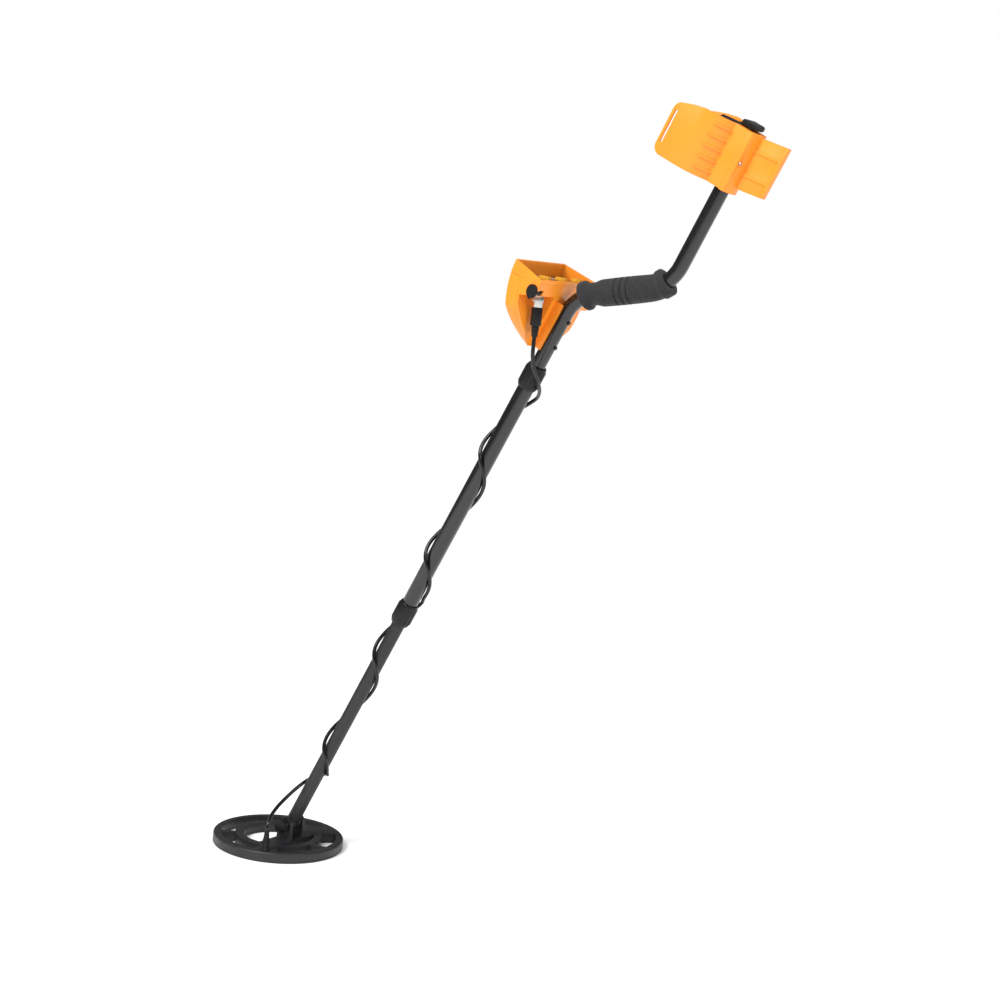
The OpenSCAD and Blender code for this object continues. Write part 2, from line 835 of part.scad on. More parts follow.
// Sleeve on the middle tube's end, with split fingers that grip the inner tube
module collet(inner_d) {
    difference() {
        union() {
            translate([0, 0, 4]) ring(collet_r, middle_d / 2 + 0.02, collar_len - 11);
            translate([0, 0, collar_len - 7.5]) ring(collet_r, inner_d / 2 + 0.08, 4.2);
        }
        for (a = [0:60:300]) rotate([0, 0, a]) translate([0, -0.8, collar_len - 9]) cube([20, 1.6, 8]);
    }
}

module upper_collet() {
    color(dark) shaft_frame(upper_lock) collet(upper_d);
}

module lower_collet() {
    color(dark) shaft_frame(lower_lock + collar_len) mirror([0, 0, 1]) collet(lower_d);
}

// Ribbed twist collar, with the middle tube's side at the bottom
module collar(inner_d) {
    r_low = middle_d / 2 + 0.3;
    r_high = inner_d / 2 + 0.4;
    r_body = collar_r - 1;
    rotate_extrude() polygon([[r_low, 0], [13.6, 0], [r_body, 4], [r_body, collar_len - 4],
        [collar_r - 2.4, collar_len], [r_high, collar_len], [r_high, collar_len - 3],
        [collar_bore, collar_len - 3], [collar_bore, 3], [r_low, 3]]);
    for (i = [0:collar_ribs - 1]) rotate([0, 0, 360 * i / collar_ribs])
        translate([r_body, 0, 5]) cylinder(r = 1, h = collar_len - 10);
}

module upper_collar() {
    color(black) shaft_frame(upper_lock) collar(upper_d);
}

module lower_collar() {
    color(black) shaft_frame(lower_lock + collar_len) mirror([0, 0, 1]) collar(lower_d);
}

// ---- Lower tube and tilt joint ----

tilt_bolt_r = 4;
tongue_w = 20.8;
washer_t = 1.6;
ear_gap = 2 * 12.15;
ear_t = 6;
ear_r = 12;

module lower_tube() {
    color(dark) difference() {
        union() {
            shaft_frame() cylinder(r = lower_d / 2, h = lower_end);
            shaft_frame() rotate([90, 0, 0]) cylinder(r = lower_d / 2, h = tongue_w, center = true);
        }
        shaft_frame(32) cylinder(r = lower_d / 2 - plastic_wall, h = lower_end);
        shaft_frame() rotate([90, 0, 0]) cylinder(r = tilt_bolt_r + 0.06, h = 40, center = true);
    }
}

module tilt_washers() {
    color(black) for (side = [0, 1]) mirror([0, side, 0])
        translate(tilt_axis + [0, 12.1, 0]) rotate([90, 0, 0]) ring(9, tilt_bolt_r + 0.06, washer_t);
}

module tilt_bolt() {
    color(black) translate(tilt_axis) rotate([90, 0, 0]) {
        translate([0, 0, -30]) cylinder(r = tilt_bolt_r, h = 30 + ear_gap / 2 + ear_t);
        translate([0, 0, ear_gap / 2 + ear_t]) cylinder(r = 7.5, h = 5, $fn = 6);
    }
}

knob_lobes = 7;

module tilt_knob() {
    color(black) translate(tilt_axis + [0, ear_gap / 2 + ear_t + 0.3, 0]) rotate([-90, 0, 0]) difference() {
        union() {
            cylinder(r = 8.5, h = 3);
            translate([0, 0, 3]) cylinder(r = 10, h = 10);
            for (i = [0:knob_lobes - 1]) rotate([0, 0, 360 * i / knob_lobes]) translate([9, 0, 3.6])
                cylinder(r = 3, h = 8.8);
        }
        translate([0, 0, -1]) cylinder(r = tilt_bolt_r + 0.06, h = 13.2);
    }
}

// ---- Search coil ----
// Coil coordinates: the origin is the coil's centre on its base.

base_h = 3;
ring_in = 93;
inner_out = 70;
inner_in = 57;
plate_front = -7.5;
plate_back = -40;
arm_angle = 117;
arm_half = 12;
front_spoke = 42;
spoke_half = 2.8;
coil_round = 3;

// A sector of the slot between the two rings
module ring_slot(from, to) {
    steps = 10;
    intersection() {
        difference() {
            circle(ring_in, $fn = 180);
            circle(inner_out, $fn = 180);
        }
        polygon(concat([[0, 0]], [for (i = [0:steps]) let(a = from + (to - from) * i / steps)
            2 * coil_r * [cos(a), sin(a)]]));
    }
}

module coil_openings() {
    for (side = [0, 1]) mirror([0, side]) {
        ring_slot(front_spoke + spoke_half, arm_angle - arm_half);
        ring_slot(arm_angle + arm_half, 180 - spoke_half);
    }
    ring_slot(-front_spoke + spoke_half, front_spoke - spoke_half);
    intersection() {
        circle(inner_in, $fn = 180);
        union() {
            translate([plate_front, -100]) square([200, 200]);
            translate([plate_back - 200, -100]) square([200, 200]);
        }
    }
}

// One of the two ears that carry the tilt bolt, as an outline in X and Z
module ear_outline() {
    translate([-tilt_back, tilt_height]) circle(ear_r);
    polygon([[plate_back + 1, coil_h - 1], [plate_front - 2, coil_h - 1], [-tilt_back + ear_r, tilt_height],
        [-tilt_back - ear_r, tilt_height]]);
}

tx_r = 98;
rx_r = 63.5;

module coil_top() {
    color(dark) translate(coil_centre) difference() {
        union() {
            rotate_extrude($fn = 180) polygon(concat([[0, base_h], [coil_r, base_h]],
                [for (a = [0:15:90]) [coil_r - coil_round + coil_round * cos(a),
                    coil_h - coil_round + coil_round * sin(a)]], [[0, coil_h]]));
            for (side = [0, 1]) mirror([0, side, 0]) translate([0, ear_gap / 2 + ear_t, 0])
                rotate([90, 0, 0]) linear_extrude(ear_t) ear_outline();
        }
        linear_extrude(100, center = true) coil_openings();
        translate([0, 0, base_h - 1]) {
            ring($fn = 180, tx_r + 4, tx_r - 3, 8);
            ring($fn = 180, rx_r + 4, rx_r - 4, 8);
        }
        translate([-tilt_back, 0, tilt_height]) rotate([90, 0, 0])
            cylinder(r = tilt_bolt_r + 0.02, h = 60, center = true);
    }
}

module coil_base() {
    color(dark) translate(coil_centre) difference() {
        cylinder(r = coil_r, h = base_h, $fn = 180);
        translate([0, 0, -10]) linear_extrude(100) coil_openings();
    }
}

module transmit_winding() {
    color("#b5652a") translate(coil_centre + [0, 0, base_h]) ring($fn = 180, tx_r + 3, tx_r - 2, 5);
}

module receive_winding() {
    color("#b5652a") translate(coil_centre + [0, 0, base_h]) ring($fn = 180, rx_r + 3, rx_r - 3, 5);
}

gland_place = [-43, 84];
gland_h = 31;

module coil_gland() {
    color(black) translate(coil_centre + [gland_place[0], gland_place[1], coil_h]) {
        rotate_extrude() polygon([[0, 0], [6, 0], [6, 2], [5, 4], [4.8, 18], [3.6, gland_h], [0, gland_h]]);
        for (i = [0:4]) translate([0, 0, 6 + 2.8 * i]) cylinder(r = 5.6, h = 1.4);
    }
}

s_tube();
tube_end_plug();
foam_grip();
box_housing();
box_bezel();
control_panel();
battery_cover();
circuit_board();
loudspeaker();
meter_case();
meter_window();
meter_needle();
batteries();
battery_clips();
coil_socket();
headphone_jack();
jack_cap();
box_bolts();
box_nuts();
case_screws();
tube_saddle();
knob(knob_spread);  // knob_volume
knob(0);  // knob_sensitivity
knob(-knob_spread);  // knob_discrimination
potentiometers();
power_button();
arm_cuff();
arm_stand();
stand_screws();
arm_strap();
plug_nut();
plug_body();
plug_boot();
cable_upper();
middle_tube();
upper_collet();
lower_collet();
upper_collar();
lower_collar();
cable_middle();
lower_tube();
tilt_washers();
cable_lower();
cable_tail();
coil_top();
coil_base();
transmit_winding();
receive_winding();
coil_gland();
tilt_bolt();
tilt_knob();
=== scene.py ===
"""Looks of the metal detector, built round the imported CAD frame.

Metres, +X forward, +Y left, +Z up."""

import json
from math import atan, cos, pi, radians, sin

import bmesh
import bpy
from mathutils import Matrix, Vector


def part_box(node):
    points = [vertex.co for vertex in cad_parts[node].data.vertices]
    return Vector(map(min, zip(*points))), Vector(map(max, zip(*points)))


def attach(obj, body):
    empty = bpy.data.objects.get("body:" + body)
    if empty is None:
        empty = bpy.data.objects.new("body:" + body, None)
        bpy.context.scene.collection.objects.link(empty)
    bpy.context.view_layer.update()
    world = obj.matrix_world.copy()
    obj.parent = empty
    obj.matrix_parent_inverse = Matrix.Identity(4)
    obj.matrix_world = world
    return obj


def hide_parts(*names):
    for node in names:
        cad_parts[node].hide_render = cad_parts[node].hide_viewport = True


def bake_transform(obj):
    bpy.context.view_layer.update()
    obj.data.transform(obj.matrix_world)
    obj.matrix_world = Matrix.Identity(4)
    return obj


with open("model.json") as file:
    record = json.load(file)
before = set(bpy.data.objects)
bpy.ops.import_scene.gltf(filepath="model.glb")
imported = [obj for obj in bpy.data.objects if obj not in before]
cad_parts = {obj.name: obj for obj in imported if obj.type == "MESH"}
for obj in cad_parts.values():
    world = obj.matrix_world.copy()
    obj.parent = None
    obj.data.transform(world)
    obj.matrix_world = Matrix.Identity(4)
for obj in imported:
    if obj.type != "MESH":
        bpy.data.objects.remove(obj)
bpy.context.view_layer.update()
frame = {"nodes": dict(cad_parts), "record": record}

# ---- Sizes shared with the CAD, in metres ----

SHAFT_ANGLE = radians(64.3)
GRIP_ANGLE = radians(10.3)
REAR_ANGLE = radians(65.6)
SHAFT_LENGTH = 0.986
GRIP_LENGTH = 0.154
BEND_RADIUS = 0.062
UPPER_TUBE_R = 0.011
MIDDLE_TUBE_R = 0.0122
LOWER_TUBE_R = 0.0105
UPPER_LOCK = 0.830
LOWER_LOCK = 0.401
COLLAR_LENGTH = 0.038
COLLAR_R = 0.0162
CABLE_R = 0.0029
BOX_LOW = 0.998
PANEL_MIDDLE = 0.046
PANEL_BACK = 0.020
PANEL_AT_BACK = -0.003
PANEL_SLOPE = 0.34

BODY_OF = {
    node: body
    for body, nodes in frame["record"]["behaviour"]["bodies"].items()
    for node in nodes
}


def along(angle):
    """Unit vector up a tube of that slope."""
    return Vector((-cos(angle), 0, sin(angle)))


def square_to(angle):
    """Unit vector forward and up, square to a tube of that slope."""
    return Vector((sin(angle), 0, cos(angle)))


FRONT_CORNER = along(GRIP_ANGLE) * -GRIP_LENGTH / 2
REAR_CORNER = along(GRIP_ANGLE) * GRIP_LENGTH / 2
TILT_AXIS = FRONT_CORNER - along(SHAFT_ANGLE) * SHAFT_LENGTH


def tube_space(origin, angle):
    """Matrix from a tube's own space, Z along it and X square to it in the middle plane."""
    x, y, z = square_to(angle), Vector((0, 1, 0)), along(angle)
    turn = Matrix((x, y, z)).transposed().to_4x4()
    return Matrix.Translation(origin) @ turn


SHAFT = tube_space(TILT_AXIS, SHAFT_ANGLE)
REAR = tube_space(REAR_CORNER, REAR_ANGLE)
BOX = SHAFT @ Matrix.Translation((0, 0, BOX_LOW))
PANEL_TOP = PANEL_AT_BACK - (PANEL_MIDDLE - PANEL_BACK) * PANEL_SLOPE
PANEL = (
    BOX
    @ Matrix.Translation((PANEL_MIDDLE, 0, PANEL_TOP))
    @ Matrix.Rotation(atan(PANEL_SLOPE), 4, "Y")
)


# ---- Camera ----

CAMERA_PLACE = (-1.3402, 2.3596, 0.019)
CAMERA_AZIMUTH = radians(212.6)
CAMERA_ELEVATION = radians(7.0)
CAMERA_ROLL = radians(5.8)
CAMERA_LENS_MM = 68.5
CAMERA_SENSOR_MM = 36


def camera_turn(azimuth, elevation, roll):
    """Matrix of a camera that looks from that azimuth and elevation, rolled about its view."""
    flat = cos(elevation)
    back = Vector((sin(azimuth) * flat, -cos(azimuth) * flat, sin(elevation)))
    level = Vector((cos(azimuth), sin(azimuth), 0))
    upright = back.cross(level)
    right = level * cos(roll) + upright * sin(roll)
    up = upright * cos(roll) - level * sin(roll)
    return Matrix((right, up, back)).transposed().to_4x4()


def add_camera():
    """Camera behind the detector's left side, a little above the grip's height."""
    data = bpy.data.cameras.new("camera")
    data.sensor_width = CAMERA_SENSOR_MM
    data.lens = CAMERA_LENS_MM
    data.clip_end = 50
    camera = bpy.data.objects.new("camera", data)
    turn = camera_turn(CAMERA_AZIMUTH, CAMERA_ELEVATION, CAMERA_ROLL)
    camera.matrix_world = Matrix.Translation(CAMERA_PLACE) @ turn
    bpy.context.collection.objects.link(camera)
    bpy.context.scene.camera = camera


add_camera()


# ---- Materials ----


class Shader:
    """A material whose colour, roughness and relief come from noise and waves in object space."""

    def __init__(
        self, name, metallic=0.0, coat=0.0, transmission=0.0, sheen=0.0, specular=0.3
    ):
        self.material = bpy.data.materials.new(name)
        self.material.use_nodes = True
        self.nodes = self.material.node_tree.nodes
        self.links = self.material.node_tree.links
        self.surface = self.nodes["Principled BSDF"]
        settings = {
            "Metallic": metallic, "Coat Weight": coat, "Coat Roughness": 0.12,
            "Transmission Weight": transmission, "Sheen Weight": sheen,
            "Specular IOR Level": specular,
        }
        for socket, value in settings.items():
            self.surface.inputs[socket].default_value = value
        self.space = self.nodes.new("ShaderNodeTexCoord").outputs["Object"]

    def noise(self, scale, detail=3.0, stretch=(1, 1, 1)):
        """Noise of that many features a metre, stretched by the given factors."""
        mapping = self.nodes.new("ShaderNodeMapping")
        mapping.inputs["Scale"].default_value = stretch
        self.links.new(self.space, mapping.inputs["Vector"])
        texture = self.nodes.new("ShaderNodeTexNoise")
        texture.inputs["Scale"].default_value = scale
        texture.inputs["Detail"].default_value = detail
        self.links.new(mapping.outputs["Vector"], texture.inputs["Vector"])
        return texture.outputs["Fac"]

    def cells(self, scale):
        """Distance field of small cells, as in foam."""
        texture = self.nodes.new("ShaderNodeTexVoronoi")
        texture.inputs["Scale"].default_value = scale
        self.links.new(self.space, texture.inputs["Vector"])
        return texture.outputs["Distance"]

    def wave(self, scale, direction="X", distortion=0.0, turn=(0, 0, 0)):
        """Parallel bands across one direction, after a turn in radians."""
        mapping = self.nodes.new("ShaderNodeMapping")
        mapping.inputs["Rotation"].default_value = turn
        self.links.new(self.space, mapping.inputs["Vector"])
        texture = self.nodes.new("ShaderNodeTexWave")
        texture.bands_direction = direction
        texture.inputs["Scale"].default_value = scale
        texture.inputs["Distortion"].default_value = distortion
        self.links.new(mapping.outputs["Vector"], texture.inputs["Vector"])
        return texture.outputs["Fac"]

    def product(self, a, b):
        """Two fields multiplied."""
        maths = self.nodes.new("ShaderNodeMath")
        maths.operation = "MULTIPLY"
        self.links.new(a, maths.inputs[0])
        self.links.new(b, maths.inputs[1])
        return maths.outputs[0]

    def colour(self, field, dark, light, low=0.3, high=0.7):
        """Paints the surface from dark to light with a field."""
        ramp = self.nodes.new("ShaderNodeValToRGB")
        for stop, place, tone in zip(ramp.color_ramp.elements, (low, high), (dark, light)):
            stop.position = place
            stop.color = (*tone, 1)
        self.links.new(field, ramp.inputs["Fac"])
        self.links.new(ramp.outputs["Color"], self.surface.inputs["Base Color"])

    def roughness(self, field, low, high):
        """Roughness that goes from low to high with a field."""
        span = self.nodes.new("ShaderNodeMapRange")
        limits = {"From Min": 0.3, "From Max": 0.7, "To Min": low, "To Max": high}
        for socket, value in limits.items():
            span.inputs[socket].default_value = value
        self.links.new(field, span.inputs["Value"])
        self.links.new(span.outputs["Result"], self.surface.inputs["Roughness"])

    def relief(self, field, depth, strength=0.5):
        """Bump of that depth in metres."""
        bump = self.nodes.new("ShaderNodeBump")
        bump.inputs["Distance"].default_value = depth
        bump.inputs["Strength"].default_value = strength
        self.links.new(field, bump.inputs["Height"])
        self.links.new(bump.outputs["Normal"], self.surface.inputs["Normal"])


def shades(colour, spread):
    """A darker and a lighter tone of a colour."""
    return [c * (1 - spread) for c in colour], [min(1.0, c * (1 + spread)) for c in colour]


def moulded(
    name, colour, rough, spread=0.06, grain=900, depth=0.00008, coat=0.0, specular=0.3
):
    """Moulded plastic with a fine grain, slight mottling and handling marks."""
    shader = Shader(name, coat=coat, specular=specular)
    shader.colour(shader.noise(22, 5), *shades(colour, spread))
    shader.roughness(shader.noise(55, 4), rough - 0.06, rough + 0.08)
    shader.relief(shader.noise(grain, 2), depth, 0.35)
    return shader.material


def coated_metal(name, colour, rough):
    """Tube with a glossy coat, faint draw lines along it and dust."""
    shader = Shader(name, coat=0.4, specular=0.5)
    shader.colour(shader.noise(60, 5, (1, 1, 0.4)), *shades(colour, 0.18))
    shader.roughness(shader.noise(90, 4), rough - 0.05, rough + 0.1)
    shader.relief(shader.noise(320, 2), 0.00004, 0.3)
    return shader.material


def bare_metal(name, colour, rough):
    """Turned or plated metal with fine lines."""
    shader = Shader(name, metallic=1.0)
    shader.colour(shader.noise(300, 4, (1, 1, 6)), *shades(colour, 0.12))
    shader.roughness(shader.noise(500, 3, (1, 1, 8)), rough, rough + 0.18)
    shader.relief(shader.noise(1400, 2, (1, 1, 5)), 0.00002, 0.3)
    return shader.material


def foam_rubber():
    """Closed-cell foam with open skin cells and a dusty sheen."""
    shader = Shader("foam", sheen=0.1)
    shader.colour(shader.noise(500, 4), (0.013, 0.013, 0.014), (0.03, 0.03, 0.032))
    shader.roughness(shader.noise(200, 3), 0.75, 0.95)
    shader.relief(shader.product(shader.cells(1300), shader.noise(700, 3)), 0.0004, 0.8)
    return shader.material


def woven_strap():
    """Webbing with ribs across it and a fine twill along it."""
    shader = Shader("webbing", sheen=0.1)
    across = shader.wave(420, "Z", 0.4, (0, REAR_ANGLE - radians(90), 0))
    length = shader.wave(260, "Y", 0.6)
    weave = shader.product(across, length)
    shader.colour(weave, (0.004, 0.004, 0.004), (0.022, 0.022, 0.024), 0.1, 0.8)
    shader.roughness(shader.noise(300, 3), 0.7, 0.9)
    shader.relief(weave, 0.0003, 0.8)
    return shader.material


def winding_copper():
    """Enamelled wire wound side by side."""
    shader = Shader("copper", metallic=0.8, coat=0.5)
    lines = shader.wave(700, "Z", 0.3)
    shader.colour(lines, (0.22, 0.07, 0.02), (0.62, 0.26, 0.1))
    shader.roughness(shader.noise(100), 0.25, 0.4)
    shader.relief(lines, 0.0002, 0.7)
    return shader.material


def clear_plastic():
    """Thin clear window with faint scratches."""
    shader = Shader("clear_window", transmission=0.9, coat=0.5)
    shader.colour(shader.noise(40), (0.5, 0.34, 0.2), (0.62, 0.45, 0.3))
    shader.roughness(shader.noise(180, 4, (1, 6, 1)), 0.05, 0.14)
    shader.relief(shader.noise(700, 2, (1, 9, 1)), 0.00002, 0.2)
    return shader.material


MATERIALS = {
    "gloss_black_tube": coated_metal("gloss_black_tube", (0.006, 0.006, 0.007), 0.2),
    "orange_shell": moulded("orange_shell", (0.9, 0.28, 0.02), 0.34, 0.04, coat=0.2),
    "black_plastic": moulded("black_plastic", (0.008, 0.008, 0.009), 0.34, 0.2),
    "dark_plastic": moulded("dark_plastic", (0.02, 0.02, 0.022), 0.42, 0.14, specular=0.4),
    "foam": foam_rubber(),
    "black_rubber": moulded("black_rubber", (0.008, 0.008, 0.009), 0.55, 0.2, 600, 0.0001),
    "cable_jacket": moulded(
        "cable_jacket", (0.006, 0.006, 0.007), 0.24, 0.2, 500, 0.00005, 0.2
    ),
    "black_steel": moulded("black_steel", (0.01, 0.01, 0.011), 0.3, 0.15, 700, 0.00003, 0.2),
    "zinc": bare_metal("zinc", (0.55, 0.55, 0.57), 0.3),
    "nickel": bare_metal("nickel", (0.68, 0.67, 0.65), 0.16),
    # panel_brown is the shell's orange darkened to brown: painted shade of the recessed control
    # panel, not a colour of its own
    "panel_brown": moulded("panel_brown", (0.2, 0.085, 0.03), 0.2, 0.12, coat=0.5),
    "green_board": moulded("green_board", (0.02, 0.16, 0.05), 0.35),
    "speaker_black": moulded("speaker_black", (0.03, 0.03, 0.03), 0.7),
    "dial_white": moulded("dial_white", (0.75, 0.71, 0.6), 0.5),
    "clear_window": clear_plastic(),
    "needle_red": moulded("needle_red", (0.5, 0.02, 0.015), 0.4),
    "battery_case": moulded("battery_case", (0.05, 0.055, 0.065), 0.35, coat=0.3),
    "golden_knob": moulded("golden_knob", (0.72, 0.36, 0.03), 0.25, coat=0.4),
    "button_red": moulded("button_red", (0.5, 0.05, 0.02), 0.3),
    "webbing": woven_strap(),
    "copper": winding_copper(),
}


# ---- Mesh helpers ----


def add_piece(name, mesh, slot, body, *nodes):
    """Links a mesh as a piece of that material, which rides on a body and stands for CAD nodes."""
    obj = bpy.data.objects.new(name, mesh)
    bpy.context.collection.objects.link(obj)
    mesh.materials.clear()
    mesh.materials.append(MATERIALS[slot])
    if body:
        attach(obj, body)
    if nodes:
        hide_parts(*nodes)
    return obj


def finish_mesh(name, bm, sharp=radians(35)):
    """Writes a bmesh to a mesh, smooth except across sharp edges."""
    bmesh.ops.recalc_face_normals(bm, faces=bm.faces)
    for face in bm.faces:
        face.smooth = True
    for edge in bm.edges:
        edge.smooth = len(edge.link_faces) == 2 and edge.calc_face_angle(0) < sharp
    mesh = bpy.data.meshes.new(name)
    bm.to_mesh(mesh)
    bm.free()
    return mesh


def sweep(points, radii, sides=20, closed_ends=True, ways=(None, None)):
    """Bmesh tube along points, with a radius at each and the directions its ends face along."""
    bm = bmesh.new()
    last = len(points) - 1
    tangents = [
        (points[min(i + 1, last)] - points[max(i - 1, 0)]).normalized() for i in range(last + 1)
    ]
    tangents[0] = ways[0] or tangents[0]
    tangents[-1] = ways[1] or tangents[-1]
    side = tangents[0].orthogonal().normalized()
    angles = [2 * pi * k / sides for k in range(sides)]
    rings = []
    for point, tangent, radius in zip(points, tangents, radii):
        side = (side - tangent * side.dot(tangent)).normalized()
        other = tangent.cross(side)
        rings.append([
            bm.verts.new(point + (side * cos(a) + other * sin(a)) * radius) for a in angles
        ])
    for low, high in zip(rings, rings[1:]):
        for k in range(sides):
            bm.faces.new((low[k], low[(k + 1) % sides], high[(k + 1) % sides], high[k]))
    if closed_ends:
        bm.faces.new(list(reversed(rings[0])))
        bm.faces.new(rings[-1])
    return bm


def smooth_line(points, steps):
    """Catmull-Rom curve through points, with that many steps between each pair."""
    padded = [points[0] * 2 - points[1], *points, points[-1] * 2 - points[-2]]
    line = []
    for a, b, c, d in zip(padded, padded[1:], padded[2:], padded[3:]):
        for k in range(steps):
            t = k / steps
            line.append(
                0.5 * (2 * b + (c - a) * t + (2 * a - 5 * b + 4 * c - d) * t * t
                       + (3 * b - 3 * c + d - a) * t ** 3)
            )
    line.append(points[-1])
    return line


def length_of(points):
    """Length of the line through points."""
    return sum((b - a).length for a, b in zip(points, points[1:]))


# ---- Cable ----

FIRST_TURN = 0.735
TURN_PITCH = 0.185
TURN_WAVE = 0.025
CABLE_GAP = 0.0008
COLLAR_REACH = 0.016
COLLAR_RAMP = 0.014
MIDDLE_FROM, MIDDLE_TO, LOWER_TO = radians(-90), radians(630), radians(1260)
DOWN = Vector((0, 0, -1))


def smooth_step(x):
    """Rises smoothly from 0 to 1 while x does."""
    x = max(0.0, min(1.0, x))
    return x * x * (3 - 2 * x)


def beside(s, low):
    """How far the place s is beside the collar that starts at low, from 0 to 1."""
    high = low + COLLAR_LENGTH
    return smooth_step((s - low + COLLAR_REACH) / COLLAR_RAMP) * smooth_step(
        (high + COLLAR_REACH - s) / COLLAR_RAMP
    )


def turn_point(angle):
    """Centre of the cable after winding that many radians down the shaft."""
    s = FIRST_TURN - TURN_PITCH * angle / (2 * pi) + TURN_WAVE * (1 - cos(angle)) / 2
    on_lower = smooth_step((LOWER_LOCK + 0.010 - s) / 0.020)
    tube = MIDDLE_TUBE_R + (LOWER_TUBE_R - MIDDLE_TUBE_R) * on_lower
    lift = max(beside(s, LOWER_LOCK), beside(s, UPPER_LOCK))
    r = CABLE_R + CABLE_GAP + tube + lift * (COLLAR_R - tube) + 0.0006 * (1 + cos(angle))
    return SHAFT @ Vector((r * cos(angle), r * sin(angle), s))


def turns(start, end, step=radians(10)):
    """Centre line of the wound cable between two angles."""
    count = round((end - start) / step)
    return [turn_point(start + (end - start) * i / count) for i in range(count + 1)]


def turn_way(angle):
    """Direction of the wound cable."""
    return (turn_point(angle + 0.02) - turn_point(angle - 0.02)).normalized()


def millimetres(points):
    """Points given in millimetres, as vectors in metres."""
    return [Vector(p) / 1000 for p in points]


UPPER_ROUTE = millimetres([
    (107, 50, -77), (107, 50, -92), (107, 49, -105), (108, 42, -120), (109, 30, -134),
    (113, 15, -147), (121, -2, -158), (132, -15, -168), (145, -19, -177),
])
TAIL_ROUTE = millimetres([
    (444.3, -5.5, -810.5), (450, -13, -812.5), (459, -17, -815), (472, -16, -821),
    (483.5, -6, -828.5), (489, 9, -838), (492, 23, -847), (494, 37, -856), (494, 51, -864),
    (492, 64, -871), (489, 74, -877), (486, 81, -884), (485.1, 84, -890), (485.1, 84, -895.8),
])


def add_cable(name, path, ways, between, node):
    """One length of the cable, which rides on one body, or is left on no body when it runs between
    two.
    """
    mesh = finish_mesh(name, sweep(path, [CABLE_R] * len(path), 16, ways=ways), radians(60))
    obj = add_piece(name, mesh, "cable_jacket", None, node)
    if len(between) == 2:
        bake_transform(obj)
    else:
        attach(obj, between[0])


add_cable(
    "cable_from_plug", smooth_line([*UPPER_ROUTE, turn_point(MIDDLE_FROM)], 6),
    (DOWN, turn_way(MIDDLE_FROM)), ("frame", "middle_shaft"), "cable_upper",
)
add_cable(
    "cable_on_middle_tube", turns(MIDDLE_FROM, MIDDLE_TO),
    (turn_way(MIDDLE_FROM), turn_way(MIDDLE_TO)), ("middle_shaft",), "cable_middle",
)
add_cable(
    "cable_on_lower_tube", turns(MIDDLE_TO, LOWER_TO),
    (turn_way(MIDDLE_TO), turn_way(LOWER_TO)), ("middle_shaft", "lower_shaft"), "cable_lower",
)
add_cable(
    "cable_to_coil", smooth_line([turn_point(LOWER_TO), *TAIL_ROUTE], 6),
    (turn_way(LOWER_TO), DOWN), ("lower_shaft", "coil"), "cable_tail",
)


# ---- Rigid pieces, as bevelled copies of their CAD nodes ----

# Node: edge rounding in millimetres
ROUNDING = {
    "s_tube": 0.2, "tube_end_plug": 0.6, "box_housing": 0.8, "box_bezel": 0.9,
    "control_panel": 0.3, "battery_cover": 0.8, "circuit_board": 0.2, "loudspeaker": 0.3,
    "meter_case": 0.3, "meter_window": 0.2, "meter_needle": 0.1, "batteries": 1.2,
    "battery_clips": 0.4, "coil_socket": 0.3, "headphone_jack": 0.3, "jack_cap": 0.7,
    "box_bolts": 0.5, "box_nuts": 0.3, "case_screws": 0.5, "tube_saddle": 0.5,
    "knob_volume": 0.5, "knob_sensitivity": 0.5, "knob_discrimination": 0.5,
    "potentiometers": 0.3, "power_button": 0.5, "arm_cuff": 0.7, "arm_stand": 0.8,
    "stand_screws": 0.5, "plug_nut": 0.25, "plug_body": 0.6, "plug_boot": 0.4,
    "middle_tube": 0.2, "upper_collet": 0.3, "lower_collet": 0.3, "upper_collar": 0.5,
    "lower_collar": 0.5, "lower_tube": 0.3, "tilt_washers": 0.3, "coil_top": 0.8,
    "coil_base": 0.6, "transmit_winding": 0.5, "receive_winding": 0.5, "coil_gland": 0.5,
    "tilt_bolt": 0.5, "tilt_knob": 0.7,
}
SLOT_OF = {part["node"]: part["material_slot"] for part in frame["record"]["subparts"]}


def rounded_copy(node, width):
    """A piece with the node's own shape, its flat faces merged and its sharp edges rounded."""
    bm = bmesh.new()
    bm.from_mesh(frame["nodes"][node].data)
    bmesh.ops.remove_doubles(bm, verts=bm.verts, dist=1e-6)
    bmesh.ops.dissolve_limit(bm, angle_limit=radians(0.5), verts=bm.verts, edges=bm.edges)
    sharp = [e for e in bm.edges if len(e.link_faces) == 2 and e.calc_face_angle(0) > radians(32)]
    bmesh.ops.bevel(
        bm, geom=sharp, offset=width / 1000, segments=3, profile=0.5, affect="EDGES",
        clamp_overlap=True,
    )
    add_piece(f"{node}_rounded", finish_mesh(node, bm), SLOT_OF[node], BODY_OF[node], node)


for node, width in ROUNDING.items():
    rounded_copy(node, width)


# ---- Marks on the control panel ----

TICK_RAISE = 0.00012
KNOB_BACK = -0.014
KNOB_SPACING = 0.044
METER_CENTRE = (0.002, 0, -0.0023)


def add_ticks(name, centre, radius, size, angles):
    """Raised painted marks on a circle about a point of the panel, one at each angle in degrees."""
    bm = bmesh.new()
    for angle in angles:
        tick = bmesh.ops.create_cube(bm, size=1)["verts"]
        bmesh.ops.scale(bm, verts=tick, vec=size)
        out = Matrix.Translation((radius, 0, size[2] / 2))
        place = Matrix.Translation(centre) @ Matrix.Rotation(radians(angle), 4, "Z") @ out
        bmesh.ops.transform(bm, matrix=PANEL @ place, verts=tick)
    add_piece(name, finish_mesh(name, bm), "dial_white", "frame")


